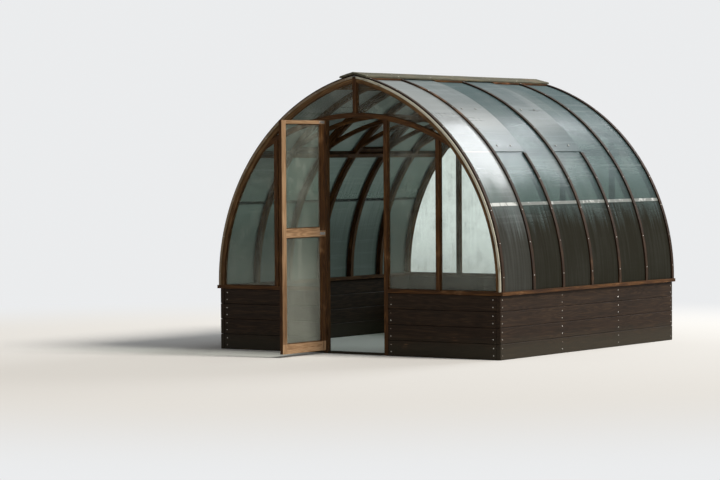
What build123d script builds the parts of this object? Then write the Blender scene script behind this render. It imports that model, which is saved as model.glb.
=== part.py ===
from build123d import *
import os
from math import asin, atan2, degrees, radians, sin, sqrt

os.makedirs("parts", exist_ok=True)

# Arched timber greenhouse. The origin is on the ground under the middle of the doorway.
# X runs across the front, Y runs back from the front frame, Z is up.

# Layout
bays = 6
bay = 500.0
base_height = 545.0
base_thick = 45.0

# Arches: each half is one arc about a point on the far side of the middle
arch_radius = 1860.0
arch_offset = 376.0
arch_spring = 600.0
rib_width = 45.0
rib_depth = 45.0

# Wall plates
plate_thick = 30.0
plate_inside = 15.0
plate_outside = 27.0
plate_front = 10.0

# Cross pieces of each arch
tie_radius = 2000.0
tie_drop = 321.5
tie_depth = 36.0
tie_width = 35.0
apex_board_half = 240.0
apex_board_depth = 62.0
apex_board_thick = 18.0

# Ridge
ridge_width = 40.0
ridge_depth = 45.0
ridge_drop = 6.0
cap_width = 150.0
cap_thick = 18.0
cap_overhang = 25.0
cap_gap = 4.0
top_batten_width = 38.0
top_batten_reach = 10.0

# Purlin rails, halfway up each slope
purlin_drop = 660.0
purlin_size = 45.0

# Gable posts and panes
post_width = 40.0
post_depth = 45.0
doorway = 600.0
outer_post_inset = 583.832
pane_thick = 4.0

# Roof sheets and what lies on them
sheet_thick = 6.0
sheet_gap = 4.0
seam_height = 1310.0
batten_thick = 14.0
batten_width = 36.0
strip_thick = 1.8
strip_width = 30.0
trim_width = 18.0
trim_thick = 10.0

# Roof vents
vent_rail = 35.0
vent_depth = 24.0
vent_play = 5.0
vent_lap = 20.0
vent_top = 60.0

# Door
leaf_width = 640.0
leaf_height = 2012.0
leaf_thick = 30.0
leaf_bottom = 30.0
leaf_gap = 8.0
stile_width = 62.0
top_rail = 30.0
mid_rail = 50.0
mid_rail_height = 1000.0
bottom_rail = 83.0
ledge_height = 27.0
ledge_inset = 18.0
threshold_thick = 20.0

# Hinges
hinge_side = 2.0
hinge_flap = 36.0
knuckle_radius = 6.0
pin_radius = 3.0
hinge_sheet = 3.0
hinge_foot = 15.0
hinge_plate_height = 90.0
hinge_inset = 170.0

# Clearances
fit = 0.3
pin_play = 0.1
knuckle_play = 1.0

# Worked out from the sizes above
length = bays * bay
plate_top = base_height + plate_thick
rib_inner = arch_radius - rib_depth
sheet_in = arch_radius + fit
sheet_out = sheet_in + sheet_thick
batten_in = sheet_out + fit
batten_out = batten_in + batten_thick
foot_outer = sqrt(arch_radius**2 - (plate_top - arch_spring) ** 2) - arch_offset
foot_inner = foot_outer - base_thick
outer_post_x = foot_inner - outer_post_inset
ridge_half = ridge_width / 2
front_face = -post_depth / 2
back_face = length + post_depth / 2
door_post_x = doorway / 2 + post_width / 2
door_post_outer = doorway / 2 + post_width
apex_height = arch_spring + sqrt(arch_radius**2 - arch_offset**2)
ridge_top = apex_height - ridge_drop
tie_top = apex_height - tie_drop
purlin_height = apex_height - purlin_drop
tie_centre = tie_top - tie_radius
big = 2 * arch_radius


def across(y):
    """Plane across the house at depth y, drawn with X to the right and Z up."""
    return Plane.XZ.offset(-y)


def right_ring(inner, outer):
    """Ring about the centre of the right-hand arc."""
    with Locations((-arch_offset, arch_spring)):
        Circle(outer)
        Circle(inner, mode=Mode.SUBTRACT)


def keep(x_low, x_high, z_low, z_high):
    """Keep only what lies in a rectangle."""
    with Locations((x_low, z_low)):
        Rectangle(x_high - x_low, z_high - z_low, align=(Align.MIN, Align.MIN), mode=Mode.INTERSECT)


def block(x_low, x_high, z_low, z_high):
    """Add a rectangle given by its edges."""
    with Locations((x_low, z_low)):
        Rectangle(x_high - x_low, z_high - z_low, align=(Align.MIN, Align.MIN))


def inside_ribs(gap):
    """Keep only what lies under both halves of an arch."""
    with Locations((-arch_offset, arch_spring)):
        Circle(rib_inner - gap, mode=Mode.INTERSECT)
    with Locations((arch_offset, arch_spring)):
        Circle(rib_inner - gap, mode=Mode.INTERSECT)


def band(inner, outer, low, high):
    """Curved band of the right slope between two angles above the springing line."""
    centre = (-arch_offset, arch_spring)
    with BuildLine(Plane.XY) as outline:
        outside = CenterArc(centre, outer, low, high - low)
        inside = CenterArc(centre, inner, low, high - low)
        Line(outside @ 0, inside @ 0)
        Line(outside @ 1, inside @ 1)
    make_face(outline.edges())


def angle_at_height(z, radius):
    return degrees(asin((z - arch_spring) / radius))


def angle_at_middle(x, radius):
    """Angle at which the right arc stands x from the middle of the house."""
    return degrees(atan2(sqrt(radius**2 - (x + arch_offset) ** 2), x + arch_offset))


def save(piece, label):
    piece.part.label = label
    export_step(piece.part, f"parts/{label}.step")


def save_pair(right, name):
    """Write a right-hand piece and its mirror image on the left."""
    save(right, f"{name}_right")
    with BuildPart() as left:
        mirror(right.part, about=Plane.YZ)
    save(left, f"{name}_left")


# Threshold board on the ground between the door posts
with BuildPart() as threshold:
    with BuildSketch():
        Rectangle(doorway, post_depth)
    extrude(amount=threshold_thick)
save(threshold, "threshold")

# Base walls: side walls run the whole length, end walls fit between them
with BuildPart() as base_side:
    with BuildSketch():
        with Locations((foot_inner, front_face)):
            Rectangle(base_thick, back_face - front_face, align=(Align.MIN, Align.MIN))
    extrude(amount=base_height)
save_pair(base_side, "base")

with BuildPart() as base_front:
    with BuildSketch():
        with Locations((door_post_outer, -base_thick / 2)):
            Rectangle(foot_inner - door_post_outer, base_thick, align=(Align.MIN, Align.MIN))
    extrude(amount=base_height)
save_pair(base_front, "base_front")

with BuildPart() as base_back:
    with BuildSketch():
        with Locations((0, length)):
            Rectangle(2 * foot_inner, base_thick)
    extrude(amount=base_height)
save(base_back, "base_back")

# Wall plates on top of the base walls
plate_in = foot_inner - plate_inside
plate_out = foot_outer + plate_outside
with BuildPart() as side_plates:
    with BuildSketch(Plane.XY.offset(base_height)):
        with Locations((plate_in, front_face - plate_front)):
            Rectangle(
                plate_out - plate_in, back_face - front_face + 2 * plate_front, align=(Align.MIN, Align.MIN)
            )
        mirror(about=Plane.YZ)
    extrude(amount=plate_thick)
save(side_plates, "side_plates")

end_plate_depth = post_depth + plate_front + plate_inside
with BuildPart() as end_plates:
    with BuildSketch(Plane.XY.offset(base_height)):
        with Locations((door_post_outer, front_face - plate_front)):
            Rectangle(plate_in - door_post_outer, end_plate_depth, align=(Align.MIN, Align.MIN))
        mirror(about=Plane.YZ)
        with Locations((0, back_face + plate_front)):
            Rectangle(2 * plate_in, end_plate_depth, align=(Align.CENTER, Align.MAX))
    extrude(amount=plate_thick)
save(end_plates, "end_plates")

# Arches: two bent ribs that meet the ridge beam, or the king post in the gables
for number in range(bays + 1):
    with BuildPart() as arch:
        with BuildSketch(across(number * bay)):
            right_ring(rib_inner, arch_radius)
            keep(ridge_half, big, plate_top, big)
            mirror(about=Plane.YZ)
        extrude(amount=rib_width / 2, both=True)
    save(arch, f"arch_{number + 1}")

# Collar ties: one bent rail under each arch
with BuildPart() as collar_ties:
    for number in range(bays + 1):
        with BuildSketch(across(number * bay)):
            with Locations((0, tie_centre)):
                Circle(tie_radius)
                Circle(tie_radius - tie_depth, mode=Mode.SUBTRACT)
            keep(-big, big, plate_top, big)
            inside_ribs(fit)
        extrude(amount=tie_width / 2, both=True)
save(collar_ties, "collar_ties")

# Ridge beam between the king posts
ridge_bottom = ridge_top - ridge_depth
with BuildPart() as ridge_beam:
    with BuildSketch(across(post_depth / 2)):
        block(-ridge_half, ridge_half, ridge_bottom, ridge_top)
    extrude(amount=-(length - post_depth))
save(ridge_beam, "ridge_beam")

# Apex boards under the ridge beam, on the side of each arch that has no vent
vent_bays = (1, 3)
with BuildPart() as apex_boards:
    for number in range(bays + 1):
        side = -1 if number == bays or number in vent_bays else 1
        with BuildSketch(across(number * bay + side * rib_width / 2)):
            block(-apex_board_half, apex_board_half, ridge_bottom - apex_board_depth, ridge_bottom)
            with Locations((-arch_offset, arch_spring)):
                Circle(arch_radius - fit, mode=Mode.INTERSECT)
            with Locations((arch_offset, arch_spring)):
                Circle(arch_radius - fit, mode=Mode.INTERSECT)
        extrude(amount=-side * apex_board_thick)
save(apex_boards, "apex_boards")

# King posts from the gable ties to the ridge
with BuildPart() as king_posts:
    for y in (0, length):
        with BuildSketch(across(y)):
            block(-ridge_half, ridge_half, tie_centre, ridge_top)
            with Locations((0, tie_centre)):
                Circle(tie_radius + fit, mode=Mode.SUBTRACT)
        extrude(amount=post_depth / 2, both=True)
save(king_posts, "king_posts")

# Purlin rails between the arches, flush with the outside of the ribs
purlin_angle = angle_at_height(purlin_height, arch_radius)
purlin_half_angle = degrees(purlin_size / 2 / arch_radius)
purlin_low = purlin_angle - purlin_half_angle
purlin_high = purlin_angle + purlin_half_angle
with BuildPart() as purlins:
    for number in range(bays):
        with BuildSketch(across((number + 0.5) * bay)):
            band(arch_radius - purlin_size, arch_radius, purlin_low, purlin_high)
            mirror(about=Plane.YZ)
        extrude(amount=(bay - rib_width) / 2, both=True)
save(purlins, "purlins")


def posts_under_tie(xs, y, z_low):
    """Square posts that end at the underside of the tie."""
    with BuildSketch(across(y)) as profile:
        for x in xs:
            block(x - post_width / 2, x + post_width / 2, z_low, tie_top)
        with Locations((0, tie_centre)):
            Circle(tie_radius - tie_depth - fit, mode=Mode.INTERSECT)
    extrude(profile.sketch, amount=post_depth / 2, both=True)


# Gable posts
with BuildPart() as front_posts:
    posts_under_tie((-door_post_x, door_post_x), 0, 0)
    posts_under_tie((-outer_post_x, outer_post_x), 0, plate_top)
save(front_posts, "front_posts")

with BuildPart() as back_posts:
    posts_under_tie((-outer_post_x, -door_post_x, door_post_x, outer_post_x), length, plate_top)
save(back_posts, "back_posts")


def lower_pane(x_low, x_high, y):
    """Pane between two uprights, from the wall plate to the tie or the arch."""
    with BuildSketch(across(y)) as profile:
        block(x_low, x_high, plate_top + fit, tie_top)
        with Locations((0, tie_centre)):
            Circle(tie_radius - tie_depth - fit, mode=Mode.INTERSECT)
        inside_ribs(fit)
    extrude(profile.sketch, amount=pane_thick / 2, both=True)


def upper_pane(y):
    """Panes over the tie, on both sides of the king post."""
    with BuildSketch(across(y)) as profile:
        block(ridge_half + fit, foot_outer, plate_top, big)
        with Locations((0, tie_centre)):
            Circle(tie_radius + fit, mode=Mode.SUBTRACT)
        inside_ribs(fit)
        mirror(about=Plane.YZ)
    extrude(profile.sketch, amount=pane_thick / 2, both=True)


post_half = post_width / 2
inner_bay = (door_post_x + post_half + fit, outer_post_x - post_half - fit)
outer_bay = (outer_post_x + post_half + fit, foot_outer)
with BuildPart() as front_panes:
    for low, high in (inner_bay, outer_bay):
        lower_pane(low, high, 0)
        lower_pane(-high, -low, 0)
    upper_pane(0)
save(front_panes, "front_panes")

with BuildPart() as back_panes:
    for low, high in (inner_bay, outer_bay):
        lower_pane(low, high, length)
        lower_pane(-high, -low, length)
    middle = door_post_x - post_half - fit
    lower_pane(-middle, middle, length)
    upper_pane(length)
save(back_panes, "back_panes")

# Roof sheets: joined over arches 2, 4 and 6, in an upper and a lower row
joints = (1, 3, 5)
sheet_starts = [front_face] + [number * bay + sheet_gap / 2 for number in joints]
sheet_ends = [number * bay - sheet_gap / 2 for number in joints] + [back_face]
seam_low = seam_height - sheet_gap / 2
seam_high = seam_height + sheet_gap / 2


def sheet(number, z_low, z_high, x_low):
    start = sheet_starts[number]
    with BuildSketch(across(start)) as profile:
        right_ring(sheet_in, sheet_out)
        keep(x_low, big, z_low, z_high)
    extrude(profile.sketch, amount=start - sheet_ends[number])


with BuildPart() as end_sheets:
    sheet(0, seam_high, big, sheet_gap / 2)
    sheet(3, seam_high, big, sheet_gap / 2)
save_pair(end_sheets, "end_sheets")

with BuildPart() as lower_sheets:
    for number in range(4):
        sheet(number, plate_top + fit, seam_low, 0)
save_pair(lower_sheets, "lower_sheets")

# The two middle sheets have an opening for a vent, from the purlin up to the cap
vent_clear = bay - rib_width
vent_high = angle_at_middle(vent_top, arch_radius)
with BuildPart() as vented_sheets:
    sheet(1, seam_high, big, sheet_gap / 2)
    sheet(2, seam_high, big, sheet_gap / 2)
    for number in vent_bays:
        with BuildSketch(across((number + 0.5) * bay)):
            band(rib_inner, batten_out, purlin_high, vent_high)
        extrude(amount=vent_clear / 2, both=True, mode=Mode.SUBTRACT)
save_pair(vented_sheets, "vented_sheets")

# Vent frames hang in the openings, with a rail on each side
vent_play_angle = degrees(vent_play / arch_radius)
vent_rail_angle = degrees(vent_rail / arch_radius)
frame_low = purlin_high + 2 * vent_play_angle
frame_high = vent_high - vent_play_angle
frame_half = vent_clear / 2 - vent_play
with BuildPart() as vent_frames:
    for number in vent_bays:
        with BuildSketch(across((number + 0.5) * bay)):
            band(arch_radius - vent_depth, sheet_out, frame_low, frame_high)
        extrude(amount=frame_half, both=True)
        with BuildSketch(across((number + 0.5) * bay)):
            band(rib_inner, batten_out, frame_low + vent_rail_angle, frame_high - vent_rail_angle)
        extrude(amount=frame_half - vent_rail, both=True, mode=Mode.SUBTRACT)
save_pair(vent_frames, "vent_frames")

# Vent sheets lie over the frames, from the batten on one side to the far edge of the next arch
vent_sheet_in = sheet_out + fit
vent_sheet_low = purlin_angle - degrees(vent_lap / arch_radius) / 2
with BuildPart() as vent_sheets:
    for number in vent_bays:
        start = number * bay + batten_width / 2 + vent_play
        end = (number + 1) * bay + rib_width / 2
        with BuildSketch(across(start)):
            band(vent_sheet_in, vent_sheet_in + sheet_thick, vent_sheet_low, vent_high)
        extrude(amount=start - end)
save_pair(vent_sheets, "vent_sheets")

# Battens over the arches; where a vent overlaps the arch, the batten stops under the vent's lower edge
short_batten_top = arch_spring + vent_sheet_in * sin(radians(vent_sheet_low)) - vent_play
with BuildPart() as battens:
    for number in range(bays + 1):
        batten_top = short_batten_top if number - 1 in vent_bays else big
        with BuildSketch(across(number * bay)):
            right_ring(batten_in, batten_out)
            keep(sheet_gap, big, plate_top + fit, batten_top)
        extrude(amount=batten_width / 2, both=True)
save_pair(battens, "battens")

# Joint strips cover the seam between the two rows of sheets
seam_angle = angle_at_height(seam_height, sheet_out)
strip_half_angle = degrees(strip_width / 2 / sheet_out)
with BuildPart() as joint_strips:
    for number in range(bays):
        with BuildSketch(across((number + 0.5) * bay)):
            band(batten_in, batten_in + strip_thick, seam_angle - strip_half_angle, seam_angle + strip_half_angle)
            mirror(about=Plane.YZ)
        extrude(amount=(bay - batten_width) / 2, both=True)
save(joint_strips, "joint_strips")

# Top battens close the gap between the sheets and the cap, in the bays without a vent
cap_tangent = angle_at_middle(cap_width / 2, batten_out)
cap_edge = cap_tangent - degrees(atan2(cap_width / 2, batten_out + fit))
top_batten_low = cap_edge - degrees(top_batten_reach / batten_out)
top_batten_high = top_batten_low + degrees(top_batten_width / batten_out)
with BuildPart() as top_battens:
    for number in range(bays):
        if number not in vent_bays:
            start = number * bay + batten_width / 2 + vent_play
            end = (number + 1) * bay - batten_width / 2 - fit
            with BuildSketch(across(start)):
                band(batten_in, batten_out, top_batten_low, top_batten_high)
                mirror(about=Plane.YZ)
            extrude(amount=start - end)
save(top_battens, "top_battens")

# Pale trim over the outer edge of each gable arch and the ends of its roof sheets
with BuildPart() as end_trims:
    for y, side in ((front_face, -1), (back_face, 1)):
        with BuildSketch(across(y)):
            right_ring(sheet_out - trim_width, sheet_out)
            keep(ridge_half, big, plate_top, big)
            mirror(about=Plane.YZ)
        extrude(amount=-side * trim_thick)
save(end_trims, "end_trims")

# Ridge cap: two planks on the battens, each tangent to its slope at its middle
cap_plane = Plane(
    origin=(-arch_offset, front_face - cap_overhang, arch_spring), x_dir=(1, 0, 0), z_dir=(0, -1, 0)
).rotated((0, 90 - cap_tangent, 0))
with BuildPart() as ridge_cap:
    with BuildSketch(cap_plane):
        with Locations((0, batten_out + fit)):
            Rectangle(cap_width, cap_thick, align=(Align.CENTER, Align.MIN))
    extrude(amount=-(back_face - front_face + 2 * cap_overhang))
    split(bisect_by=Plane.YZ.offset(cap_gap / 2), keep=Keep.TOP)
save_pair(ridge_cap, "ridge_cap")

# Door leaf, shown open at a right angle: it runs forward from the left door post
hinge_stand = knuckle_radius + knuckle_play
hinge_x = -(leaf_width / 2 + hinge_side)
hinge_y = front_face - leaf_gap - leaf_thick - hinge_stand
leaf_start = hinge_y - hinge_side
leaf_end = leaf_start - leaf_width
leaf_top = leaf_bottom + leaf_height
leaf_outside = hinge_x + hinge_stand
leaf_middle = leaf_outside + leaf_thick / 2
leaf_inside = leaf_outside + leaf_thick


def leaf_block(y_low, y_high, z_low, z_high, x_low, x_high):
    with BuildSketch(Plane.XY.offset(z_low)) as profile:
        with Locations((x_low, y_low)):
            Rectangle(x_high - x_low, y_high - y_low, align=(Align.MIN, Align.MIN))
    extrude(profile.sketch, amount=z_high - z_low)


with BuildPart() as door_stiles:
    leaf_block(leaf_end, leaf_end + stile_width, leaf_bottom, leaf_top, leaf_outside, leaf_inside)
    leaf_block(leaf_start - stile_width, leaf_start, leaf_bottom, leaf_top, leaf_outside, leaf_inside)
save(door_stiles, "door_stiles")

rail_low = leaf_end + stile_width
rail_high = leaf_start - stile_width
mid_low = leaf_bottom + mid_rail_height
mid_high = mid_low + mid_rail
with BuildPart() as door_rails:
    leaf_block(rail_low, rail_high, leaf_bottom, leaf_bottom + bottom_rail, leaf_outside, leaf_inside)
    leaf_block(rail_low, rail_high, mid_low, mid_high, leaf_outside, leaf_inside)
    leaf_block(rail_low, rail_high, leaf_top - top_rail, leaf_top, leaf_outside, leaf_inside)
save(door_rails, "door_rails")

with BuildPart() as door_ledge:
    leaf_block(
        rail_low, rail_high - ledge_inset, mid_high, mid_high + ledge_height, leaf_outside, leaf_inside
    )
save(door_ledge, "door_ledge")

pane_low_x = leaf_middle - pane_thick / 2
pane_high_x = leaf_middle + pane_thick / 2
with BuildPart() as door_panes:
    leaf_block(
        rail_low + fit, rail_high - fit, leaf_bottom + bottom_rail + fit, mid_low - fit, pane_low_x, pane_high_x
    )
    leaf_block(
        rail_low + fit,
        rail_high - fit,
        mid_high + ledge_height + fit,
        leaf_top - top_rail - fit,
        pane_low_x,
        pane_high_x,
    )
save(door_panes, "door_panes")

# Lift-off hinges: the knuckle on the leaf turns on a pin that stands in the knuckle on the post.
# Each post plate is bent, so that the shut door lies in front of the posts.
hinge_heights = (leaf_bottom + hinge_inset, leaf_top - hinge_inset)
hinge_half = hinge_plate_height / 2
knuckle_height = hinge_half - knuckle_play / 2
with BuildPart() as hinge_leaves:
    for z in hinge_heights:
        with BuildSketch(Plane.XY.offset(z + knuckle_play / 2)):
            with Locations((hinge_x, hinge_y)):
                Circle(knuckle_radius)
            with Locations((leaf_outside, hinge_y)):
                Rectangle(hinge_sheet, hinge_flap, align=(Align.MAX, Align.MAX))
            with Locations((hinge_x, hinge_y)):
                Circle(pin_radius + pin_play, mode=Mode.SUBTRACT)
        extrude(amount=knuckle_height)
        with BuildSketch(Plane.XY.offset(z - hinge_half)):
            with Locations((leaf_outside, hinge_y - hinge_stand)):
                Rectangle(hinge_sheet, hinge_flap - hinge_stand, align=(Align.MAX, Align.MAX))
        extrude(amount=hinge_plate_height)
save(hinge_leaves, "hinge_leaves")

with BuildPart() as hinge_plates:
    for z in hinge_heights:
        with BuildSketch(Plane.XY.offset(z - hinge_half)):
            with Locations((hinge_x, hinge_y)):
                Circle(knuckle_radius)
            with Locations((hinge_x - knuckle_radius, hinge_y)):
                Rectangle(hinge_sheet, front_face - hinge_y, align=(Align.MIN, Align.MIN))
        extrude(amount=knuckle_height)
        with BuildSketch(Plane.XY.offset(z - hinge_half)):
            with Locations((hinge_x, hinge_y)):
                Circle(pin_radius)
            with Locations((hinge_x - knuckle_radius + hinge_sheet, front_face)):
                Rectangle(hinge_foot, hinge_sheet, align=(Align.MAX, Align.MAX))
        extrude(amount=hinge_plate_height)
save(hinge_plates, "hinge_plates")
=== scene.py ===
import math

import bmesh
import bpy
from mathutils import Matrix, Vector, noise


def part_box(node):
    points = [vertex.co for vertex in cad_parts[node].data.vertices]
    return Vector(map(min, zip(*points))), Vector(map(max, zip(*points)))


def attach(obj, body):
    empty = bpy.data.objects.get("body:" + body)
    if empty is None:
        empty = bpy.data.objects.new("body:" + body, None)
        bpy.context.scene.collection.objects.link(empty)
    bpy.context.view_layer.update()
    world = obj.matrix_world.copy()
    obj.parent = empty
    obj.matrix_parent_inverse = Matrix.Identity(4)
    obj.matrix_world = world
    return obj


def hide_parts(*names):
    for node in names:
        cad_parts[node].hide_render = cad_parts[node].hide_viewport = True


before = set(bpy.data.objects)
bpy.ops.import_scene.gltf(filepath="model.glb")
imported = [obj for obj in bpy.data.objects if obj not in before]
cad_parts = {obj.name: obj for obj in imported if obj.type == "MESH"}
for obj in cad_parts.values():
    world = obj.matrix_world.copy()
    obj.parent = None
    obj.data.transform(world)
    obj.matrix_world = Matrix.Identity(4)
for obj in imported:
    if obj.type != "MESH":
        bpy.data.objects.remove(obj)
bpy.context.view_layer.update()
scene = bpy.context.scene
print("frame loaded:", len(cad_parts), "nodes")

# Sizes that the pieces share, in metres, as the frame has them
house = {
    "radius": 1.86,  # outside of the ribs
    "offset": 0.376,  # each half's arc is drawn from this far beyond the middle
    "spring": 0.6,
    "bay": 0.5,
    "bays": 6,
    "rib": 0.045,
    "sheetOut": 1.8663,
    "battenOut": 1.8806,
    "battenHalf": 0.018,
    "plateTop": 0.575,
    "tieRadius": 2.0,
    "tieCentre": 0.1,
    "tieDeep": 0.036,
    "doorPost": (0.300, 0.340),
    "outerPost": (0.835, 0.875),
    "kingHalf": 0.020,
}
# The leaf as it stands open: its two ends lie along y, and heights are from the ground
door = {
    "x": -0.300,
    "half": 0.015,
    "low": -0.7095,
    "high": -0.0695,
    "stile": 0.062,
    "bottom": 0.030,
    "bottomRail": 0.083,
    "middle": 1.030,
    "middleRail": 0.050,
    "ledge": 0.027,
    "top": 2.042,
    "topRail": 0.030,
}
length = house["bay"] * house["bays"]
front, back = -house["rib"] / 2, length + house["rib"] / 2


# Shader wiring

class Wire:
    # one socket; sums, products and powers of wires add Math nodes

    def __init__(self, paint, socket):
        self.paint = paint
        self.socket = socket

    def __add__(self, other):
        return self.paint.math("ADD", self, other)

    def __radd__(self, other):
        return self.paint.math("ADD", other, self)

    def __sub__(self, other):
        return self.paint.math("SUBTRACT", self, other)

    def __rsub__(self, other):
        return self.paint.math("SUBTRACT", other, self)

    def __mul__(self, other):
        return self.paint.math("MULTIPLY", self, other)

    def __truediv__(self, other):
        return self.paint.math("DIVIDE", self, other)

    def __pow__(self, other):
        return self.paint.math("POWER", self, other)

    def __abs__(self):
        return self.paint.math("ABSOLUTE", self)


class Wiring:
    # the nodes of one material or world

    def __init__(self, owner):
        self.owner = owner
        owner.use_nodes = True
        self.tree = owner.node_tree
        self.tree.nodes.clear()

    def node(self, kind, settings=None, inputs=None, output=0):
        made = self.tree.nodes.new(kind)
        for key, value in (settings or {}).items():
            if key == "stops":
                ramp = made.color_ramp
                while len(ramp.elements) < len(value):
                    ramp.elements.new(0.5)
                for element, (position, colour) in zip(ramp.elements, value):
                    element.position = position
                    element.color = (*colour, 1.0)
            else:
                setattr(made, key, value)
        for key, value in (inputs or {}).items():
            socket = made.inputs[key]
            if isinstance(value, Wire):
                self.tree.links.new(value.socket, socket)
            elif socket.type == "RGBA" and len(value) == 3:
                socket.default_value = (*value, 1.0)
            else:
                socket.default_value = value
        return Wire(self, made.outputs[output] if made.outputs else None)

    def math(self, operation, *values):
        return self.node("ShaderNodeMath", {"operation": operation}, dict(enumerate(values)))

    def mixed(self, factor, first, second):
        return self.node("ShaderNodeMixShader", None, {0: factor, 1: first, 2: second})

    def backdropRays(self):
        # 1 where the camera, a reflection or a clear body looks straight at it
        camera = self.node("ShaderNodeLightPath", output="Is Camera Ray")
        outputs = camera.socket.node.outputs
        mirrored, through = Wire(self, outputs["Is Glossy Ray"]), Wire(self, outputs["Is Transmission Ray"])
        return self.math("MINIMUM", camera + mirrored + through, 1.0)


class Paint(Wiring):
    # one material; x, y and z are the place on the object

    def __init__(self, name):
        super().__init__(bpy.data.materials.new(name))
        self.place = self.node("ShaderNodeTexCoord", output="Object")
        self.x = self.node("ShaderNodeSeparateXYZ", None, {0: self.place})
        self.y = Wire(self, self.x.socket.node.outputs[1])
        self.z = Wire(self, self.x.socket.node.outputs[2])

    def vector(self, x, y, z):
        return self.node("ShaderNodeCombineXYZ", None, {0: x, 1: y, 2: z})

    def scaled(self, marks):
        return self.vector(self.x * marks[0], self.y * marks[1], self.z * marks[2])

    def drawnOut(self, axes, lengthwise, crosswise):
        # a place for patterns that are drawn out along the first axis
        along, first, second = axes
        return self.vector(along * lengthwise, first * crosswise, second * crosswise)

    def noise(self, vector, detail, rough, scale=1.0):
        inputs = {"Vector": vector, "Scale": scale, "Detail": detail, "Roughness": rough}
        return self.node("ShaderNodeTexNoise", None, inputs)

    def spots(self, vector):
        return self.node("ShaderNodeTexVoronoi", None, {"Vector": vector, "Scale": 1.0})

    def step(self, value, low, high):
        # 0 below low, 1 above high, smooth between
        inputs = {"Value": value, "From Min": low, "From Max": high}
        return self.node("ShaderNodeMapRange", {"interpolation_type": "SMOOTHSTEP"}, inputs)

    def blend(self, factor, first, second):
        return self.node("ShaderNodeMix", {"data_type": "RGBA"}, {0: factor, 6: first, 7: second}, 2)

    def ramp(self, value, places, tones):
        return self.node("ShaderNodeValToRGB", {"stops": list(zip(places, tones))}, {0: value})

    def bump(self, height, distance, strength):
        inputs = {"Height": height, "Distance": distance, "Strength": strength}
        return self.node("ShaderNodeBump", None, inputs)

    def surface(self, **inputs):
        named = {key.replace("_", " "): value for key, value in inputs.items()}
        return self.node("ShaderNodeBsdfPrincipled", None, named)

    def clear(self, tint):
        return self.node("ShaderNodeBsdfTransparent", None, {"Color": tint})

    def matt(self, tint):
        return self.node("ShaderNodeBsdfDiffuse", None, {"Color": tint})

    def gloss(self):
        # share of light that a clear surface reflects, the same from either side
        glancing = self.node("ShaderNodeLayerWeight", None, {"Blend": 0.5}, "Facing")
        return glancing ** 5.0 * 0.96 + 0.04

    def finish(self, shader):
        self.node("ShaderNodeOutputMaterial", None, {"Surface": shader})
        return self.owner

    def slope(self):
        # the distance up the slope from the springing line, and the distance from the arc's centre
        across, up = abs(self.x) + house["offset"], self.z - house["spring"]
        angle = self.math("ARCTAN2", up, across)
        return angle * house["radius"], (across * across + up * up) ** 0.5

    def side(self, amount):
        # shifts a pattern, so that left and right aren't mirror images
        return self.math("SIGN", self.x) * amount


# Timber: the grain follows each member, whichever way it lies or bends

def grainOf(paint, way):
    # the distance along the grain, and two distances across it
    if way == "x":
        return paint.x, paint.y, paint.z
    if way == "y":
        return paint.y, paint.x, paint.z
    if way == "z":
        return paint.z, paint.x, paint.y
    if way == "tie":
        up = paint.z - house["tieCentre"]
        angle = paint.math("ARCTAN2", paint.x, up)
        return angle * house["tieRadius"], (paint.x * paint.x + up * up) ** 0.5, paint.y
    along, radius = paint.slope()
    return along + paint.side(7.0), radius, paint.y


wood = {
    # marks in a metre along the grain and across it
    "fibre": (9.0, 260.0),
    "figure": (1.6, 34.0),
    "growth": (0.9, 12.0),
    "knots": (2.6, 9.0),
    "stain": 3.1,  # and whichever way
    "stops": (0.30, 0.50, 0.70),  # where the dark, middle and light tones lie in the grain's range
    "glue": (0.012, 0.007, 0.005),
    "glueWide": (0.0004, 0.0012),  # from a line's middle to where it starts and ends to fade
    "wet": (0.034, 0.030, 0.020),
    "wetTop": (0.10, 0.26),  # heights between which the damp ends
}


def glueLines(paint, radius):
    # three bent laths glued together leave two thin dark lines
    lath = house["rib"] / 3
    middle = house["radius"] - house["rib"] / 2
    near = abs(abs(radius - middle) - lath / 2)
    return 1.0 - paint.step(near, *wood["glueWide"])


def paintedDoorSun(paint, stain):
    # painted sunlight: tan on the door's sunlit face, over its free stile and in bands where the rails run
    # across the other stile
    face, edge, blur = door["x"] + door["half"], door["low"] + door["stile"], 0.001
    sunny = paint.step(paint.x, face - 0.003, face - blur)
    paintedSun = 1.0 - paint.step(paint.y, edge - blur, edge + blur)
    # the tan fades towards the bottom: painted shadow
    paintedSun = paintedSun * (paint.step(paint.z + stain * 0.3, 0.55, 1.25) * 0.55 + 0.45)
    for low, high in (
        (door["bottom"], door["bottom"] + door["bottomRail"]),
        (door["middle"], door["middle"] + door["middleRail"]),
        (door["top"] - door["topRail"], door["top"]),
    ):
        paintedSun = paintedSun + paint.step(paint.z, low - blur, low) * (1.0 - paint.step(paint.z, high, high + blur))
    return paint.math("MINIMUM", paintedSun, 1.0) * sunny


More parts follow.
